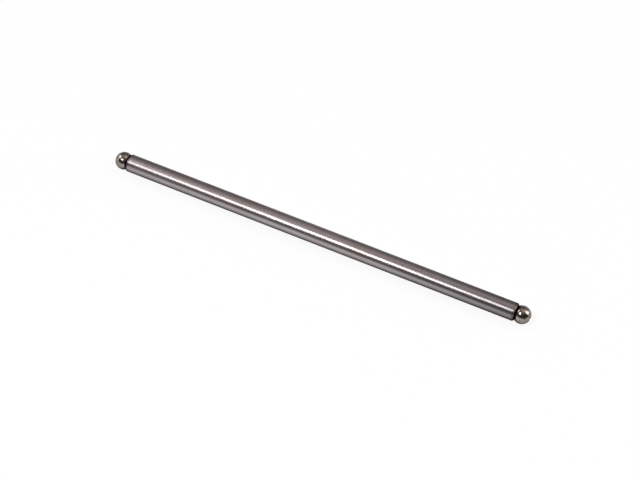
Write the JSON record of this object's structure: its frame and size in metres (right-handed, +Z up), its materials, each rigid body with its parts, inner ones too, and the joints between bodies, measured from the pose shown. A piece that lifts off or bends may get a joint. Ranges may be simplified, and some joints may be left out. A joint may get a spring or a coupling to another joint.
{
  "type": "engine pushrod",
  "caption": "Straight hollow steel engine pushrod with a polished, oil-drilled ball tip on a dark undercut neck at each end, carrying lifter motion to a rocker arm.",
  "frame": {"origin": "on the rod's axis, midway between the two ball tips", "axes": "+X along the rod towards the rocker end, +Z up as the rod lies"},
  "size_m": [0.198, 0.008, 0.008],
  "materials": {
    "ground_steel": "centreless ground, lightly oiled",
    "polished_steel": "polished and hardened, with a darkened neck"
  },
  "bodies": {
    "root": {"tube": "ground_steel", "rocker_tip": "polished_steel", "lifter_tip": "polished_steel"}
  },
  "joints": []
}
